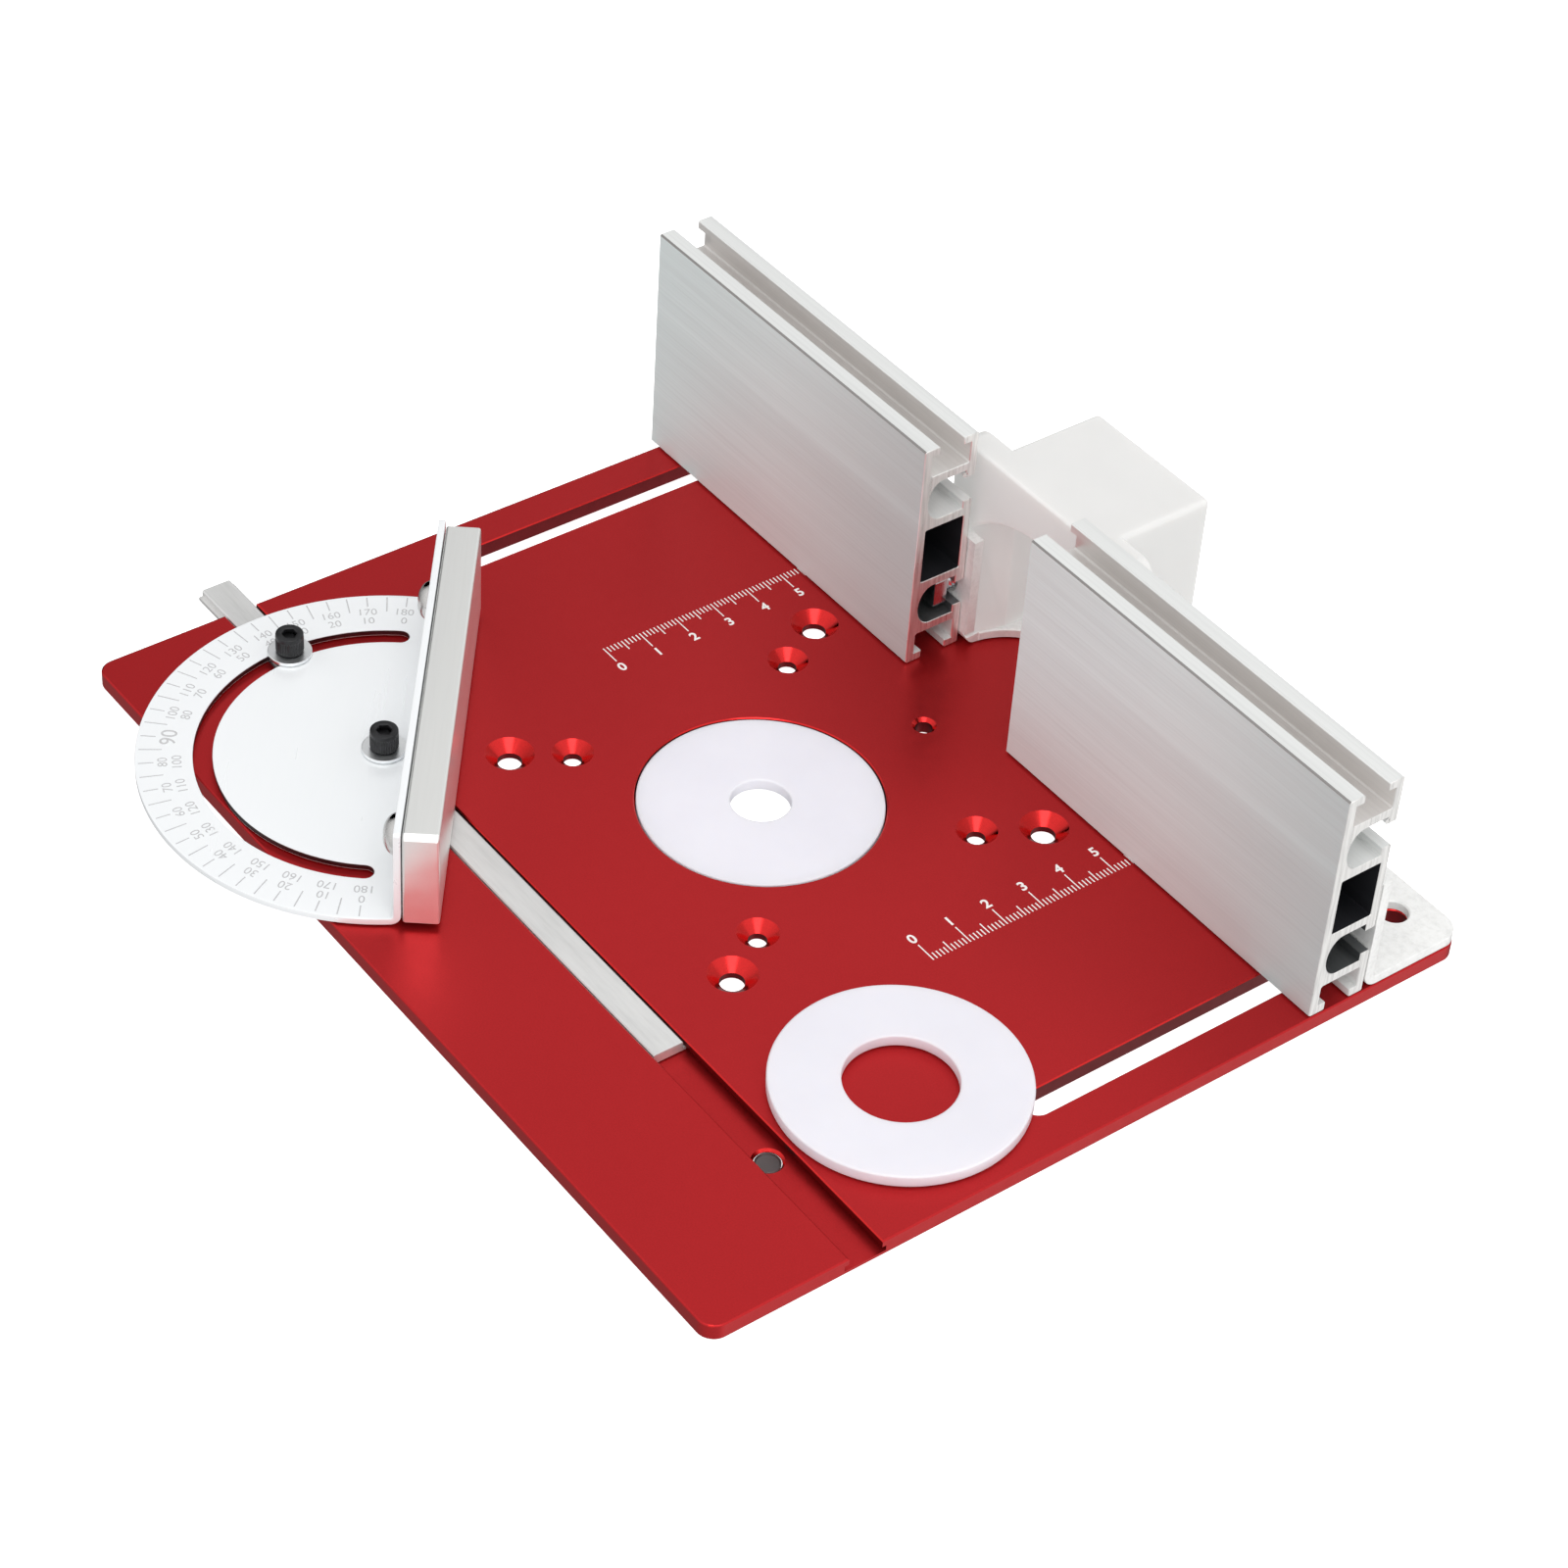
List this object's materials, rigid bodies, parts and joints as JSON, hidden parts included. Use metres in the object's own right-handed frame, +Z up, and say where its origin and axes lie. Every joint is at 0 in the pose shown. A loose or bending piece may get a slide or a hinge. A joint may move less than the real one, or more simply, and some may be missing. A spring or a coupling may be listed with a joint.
{
  "type": "router table",
  "caption": "Flat router table plate with a slotted split fence, a dust hood, bit opening rings and an angled miter gauge in a slot.",
  "frame": {"origin": "middle of the foot of the part's box, on the plane of the plate's underside; the bit's axis is 5.5 mm to +X and 4.9 mm to +Y of it", "axes": "+X along the fence and the miter slot, +Y from the front edge to the fence, +Z up out of the work surface"},
  "size_m": [0.246, 0.2202, 0.0637],
  "materials": {
    "anodised_red": "satin red anodising over a fine brushed grain",
    "white_plastic": "white moulded plastic with fine turned rings",
    "milky_plastic": "milky white moulded plastic",
    "brushed_aluminium": "clear anodised extrusion, brushed lengthwise",
    "plain_aluminium": "bright mill finish",
    "slot_bar_aluminium": "brushed lengthwise",
    "satin_silver": "satin silver anodised",
    "bright_plate": "bright satin plate with a printed degree scale",
    "black_steel": "black oxide",
    "zinc_steel": "bright zinc plate"
  },
  "bodies": {
    "table": {"base_plate": "anodised_red", "slot_stop_plug": "zinc_steel"},
    "insert": {"insert_ring": "white_plastic"},
    "spare": {"spare_ring": "white_plastic"},
    "fence_carriage": {"fence_bracket": "plain_aluminium", "dust_hood": "milky_plastic", "track_bolt_left_outer": "zinc_steel", "track_washer_left_outer": "zinc_steel", "track_nut_left_outer": "zinc_steel", "track_bolt_left_inner": "zinc_steel", "track_washer_left_inner": "zinc_steel", "track_nut_left_inner": "zinc_steel", "track_bolt_right_outer": "zinc_steel", "track_washer_right_outer": "zinc_steel", "track_nut_right_outer": "zinc_steel", "track_bolt_right_inner": "zinc_steel", "track_washer_right_inner": "zinc_steel", "track_nut_right_inner": "zinc_steel"},
    "left_fence": {"left_fence_profile": "brushed_aluminium"},
    "right_fence": {"right_fence_profile": "brushed_aluminium"},
    "slot_bar": {"miter_bar": "slot_bar_aluminium"},
    "miter_head": {"protractor_plate": "bright_plate", "miter_fence_bar": "satin_silver", "face_screw_near": "zinc_steel", "face_screw_far": "zinc_steel"},
    "pivot_fastener": {"pivot_screw": "black_steel", "pivot_washer": "zinc_steel"},
    "lock_fastener": {"angle_lock_screw": "black_steel", "angle_lock_washer": "zinc_steel"}
  },
  "joints": [
    {"name": "insert_lift", "type": "slide", "parent": "table", "child": "insert", "axis": [0, 0, 1], "range_m": [0, 0.025]},
    {"name": "spare_lift", "type": "slide", "parent": "table", "child": "spare", "axis": [0, 0, 1], "range_m": [0, 0.03]},
    {"name": "fence_slide", "type": "slide", "parent": "table", "child": "fence_carriage", "axis": [0, 1, 0], "range_m": [-0.055, 0]},
    {"name": "left_fence_slide", "type": "slide", "parent": "fence_carriage", "child": "left_fence", "axis": [1, 0, 0], "range_m": [-0.0015, 0.015]},
    {"name": "right_fence_slide", "type": "slide", "parent": "fence_carriage", "child": "right_fence", "axis": [-1, 0, 0], "range_m": [-0.004, 0.013]},
    {"name": "miter_slide", "type": "slide", "parent": "table", "child": "slot_bar", "axis": [1, 0, 0], "range_m": [-0.06, 0.06]},
    {"name": "miter_swivel", "type": "hinge", "parent": "slot_bar", "child": "miter_head", "pos_m": [-0.051, -0.056, 0.005], "axis": [0, 0, 1], "range_deg": [-138, 34]},
    {"name": "pivot_screw_turn", "type": "hinge", "parent": "slot_bar", "child": "pivot_fastener", "pos_m": [-0.051, -0.056, 0.009], "axis": [0, 0, 1], "range_deg": [0, 180]},
    {"name": "lock_screw_turn", "type": "hinge", "parent": "slot_bar", "child": "lock_fastener", "pos_m": [-0.0904, -0.056, 0.009], "axis": [0, 0, 1], "range_deg": [0, 180]}
  ]
}
